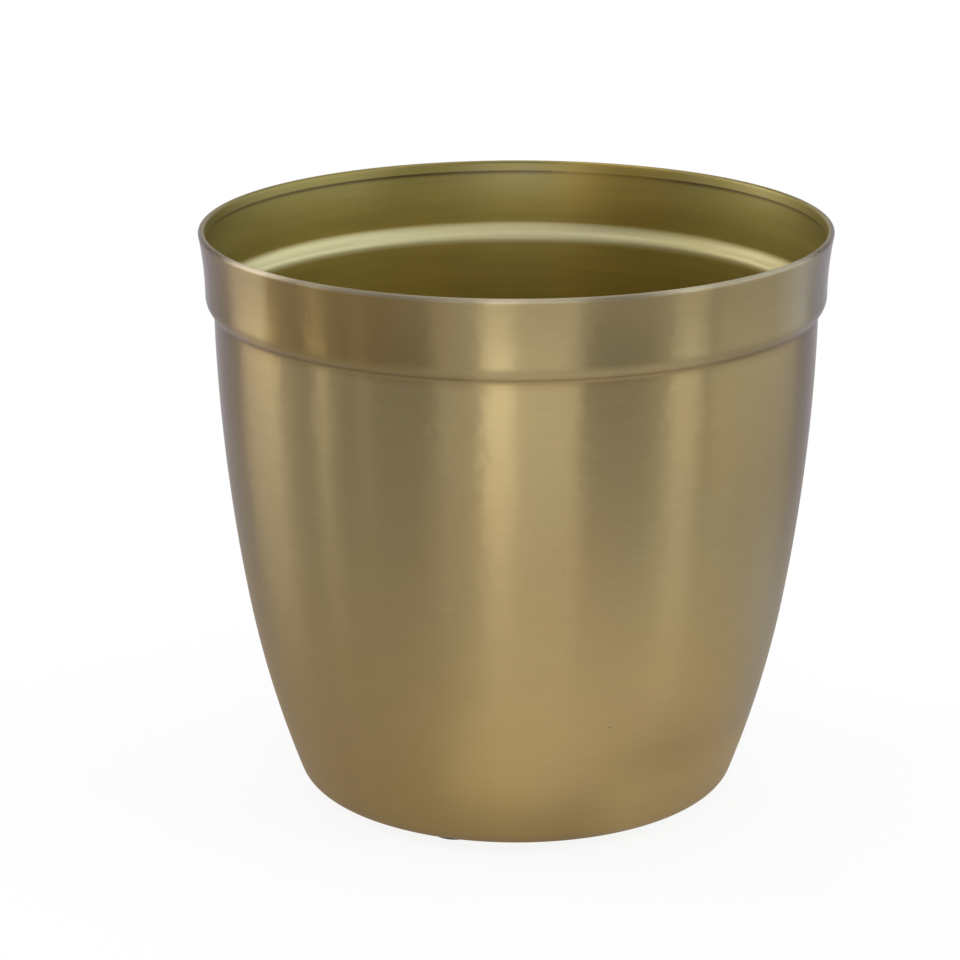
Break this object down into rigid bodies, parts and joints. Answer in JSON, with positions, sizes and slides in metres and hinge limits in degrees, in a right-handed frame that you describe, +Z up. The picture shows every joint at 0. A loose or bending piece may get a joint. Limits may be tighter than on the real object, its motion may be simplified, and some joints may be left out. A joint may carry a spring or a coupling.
{
  "type": "cachepot",
  "caption": "Round spun sheet-metal cachepot with a curved wall that narrows to a flat base, a stepped flaring collar and an inward hemmed rim, standing on thin foot pads.",
  "frame": {"origin": "on the ground, under the centre of the pot", "axes": "+Z up along the pot's axis, -Y towards the viewer of the picture, +X to the viewer's right"},
  "size_m": [0.13, 0.13, 0.12],
  "materials": {
    "brushed_brass": "brushed around the axis, clear lacquered",
    "foot_foam": "matte black closed-cell foam rubber",
    "foot_adhesive": "milky translucent adhesive film"
  },
  "bodies": {
    "root": {"pot_shell": "brushed_brass", "foot_pad_1": "foot_foam", "foot_pad_2": "foot_foam", "foot_pad_3": "foot_foam", "foot_adhesive_1": "foot_adhesive", "foot_adhesive_2": "foot_adhesive", "foot_adhesive_3": "foot_adhesive"}
  },
  "joints": []
}
